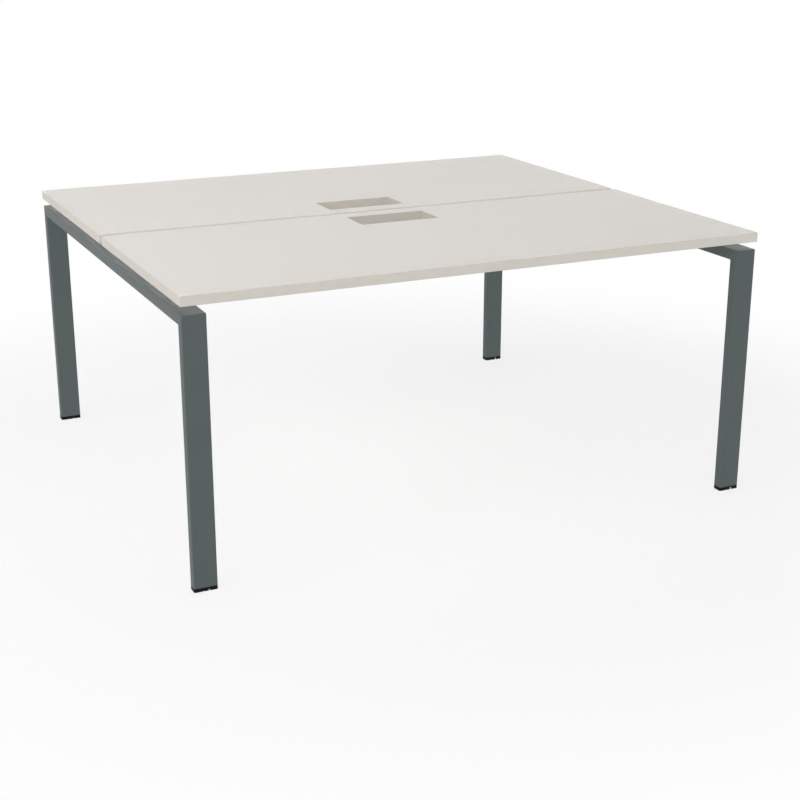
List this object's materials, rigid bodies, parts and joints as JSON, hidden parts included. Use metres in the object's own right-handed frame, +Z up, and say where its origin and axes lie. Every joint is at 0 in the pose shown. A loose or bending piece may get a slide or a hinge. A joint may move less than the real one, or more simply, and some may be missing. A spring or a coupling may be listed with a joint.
{
  "type": "benching desk",
  "caption": "Back-to-back benching desk: pale worktops with cable cut-outs float on spacers above flat-tube goalpost end frames with levelling feet.",
  "frame": {"origin": "on the floor, under the middle of the desk", "axes": "+X along the desk to the right of the front user, +Y from the front user to the back user, +Z up"},
  "size_m": [1.6, 1.42, 0.735],
  "materials": {
    "worktop_melamine": "pale grey-beige melamine, fine matt texture",
    "worktop_edging": "edge banding in the worktop's colour",
    "cutout_edging": "edge banding of the cut-outs, a little darker than the worktop's",
    "frame_paint": "basalt grey powder coat, fine texture",
    "spacer_steel": "powder coat as the frame",
    "black_plastic": "moulded, fine grain",
    "black_steel": "black zinc plated",
    "zinc_steel": "bright zinc plated"
  },
  "bodies": {
    "desk": {"back_beam": "frame_paint", "back_beam_left_plate": "frame_paint", "back_beam_right_plate": "frame_paint", "back_cutout_edging": "cutout_edging", "back_worktop_board": "worktop_melamine", "back_worktop_edging": "worktop_edging", "beam_bolts": "zinc_steel", "beam_spacers": "spacer_steel", "beam_washers": "zinc_steel", "foot_nuts": "zinc_steel", "front_beam": "frame_paint", "front_beam_left_plate": "frame_paint", "front_beam_right_plate": "frame_paint", "front_cutout_edging": "cutout_edging", "front_worktop_board": "worktop_melamine", "front_worktop_edging": "worktop_edging", "left_back_leg": "frame_paint", "left_back_leg_cap": "black_plastic", "left_end_rail": "frame_paint", "left_front_leg": "frame_paint", "left_front_leg_cap": "black_plastic", "rail_rivet_nuts": "zinc_steel", "rail_spacers": "spacer_steel", "right_back_leg": "frame_paint", "right_back_leg_cap": "black_plastic", "right_end_rail": "frame_paint", "right_front_leg": "frame_paint", "right_front_leg_cap": "black_plastic", "worktop_bolts": "zinc_steel", "worktop_inserts": "zinc_steel", "worktop_washers": "zinc_steel"},
    "left_front_foot": {"left_front_glide": "black_plastic"},
    "left_front_screw": {"left_front_levelling_screw": "black_steel"},
    "left_back_foot": {"left_back_glide": "black_plastic"},
    "left_back_screw": {"left_back_levelling_screw": "black_steel"},
    "right_front_foot": {"right_front_glide": "black_plastic"},
    "right_front_screw": {"right_front_levelling_screw": "black_steel"},
    "right_back_foot": {"right_back_glide": "black_plastic"},
    "right_back_screw": {"right_back_levelling_screw": "black_steel"}
  },
  "joints": [
    {"name": "left_front_foot_extend", "type": "slide", "parent": "desk", "child": "left_front_foot", "axis": [0, 0, -1], "range_m": [0, 0.015]},
    {"name": "left_front_screw_turn", "type": "hinge", "parent": "left_front_foot", "child": "left_front_screw", "pos_m": [-0.768, -0.693, 0.006], "axis": [0, 0, -1], "range_deg": [0, 3600]},
    {"name": "left_back_foot_extend", "type": "slide", "parent": "desk", "child": "left_back_foot", "axis": [0, 0, -1], "range_m": [0, 0.015]},
    {"name": "left_back_screw_turn", "type": "hinge", "parent": "left_back_foot", "child": "left_back_screw", "pos_m": [-0.768, 0.693, 0.006], "axis": [0, 0, -1], "range_deg": [0, 3600]},
    {"name": "right_front_foot_extend", "type": "slide", "parent": "desk", "child": "right_front_foot", "axis": [0, 0, -1], "range_m": [0, 0.015]},
    {"name": "right_front_screw_turn", "type": "hinge", "parent": "right_front_foot", "child": "right_front_screw", "pos_m": [0.768, -0.693, 0.006], "axis": [0, 0, -1], "range_deg": [0, 3600]},
    {"name": "right_back_foot_extend", "type": "slide", "parent": "desk", "child": "right_back_foot", "axis": [0, 0, -1], "range_m": [0, 0.015]},
    {"name": "right_back_screw_turn", "type": "hinge", "parent": "right_back_foot", "child": "right_back_screw", "pos_m": [0.768, 0.693, 0.006], "axis": [0, 0, -1], "range_deg": [0, 3600]}
  ],
  "couplings": [
    {"joint": "left_front_screw_turn", "follows": "left_front_foot_extend", "rad_per_m": 4188.8},
    {"joint": "left_back_screw_turn", "follows": "left_back_foot_extend", "rad_per_m": 4188.8},
    {"joint": "right_front_screw_turn", "follows": "right_front_foot_extend", "rad_per_m": 4188.8},
    {"joint": "right_back_screw_turn", "follows": "right_back_foot_extend", "rad_per_m": 4188.8}
  ]
}
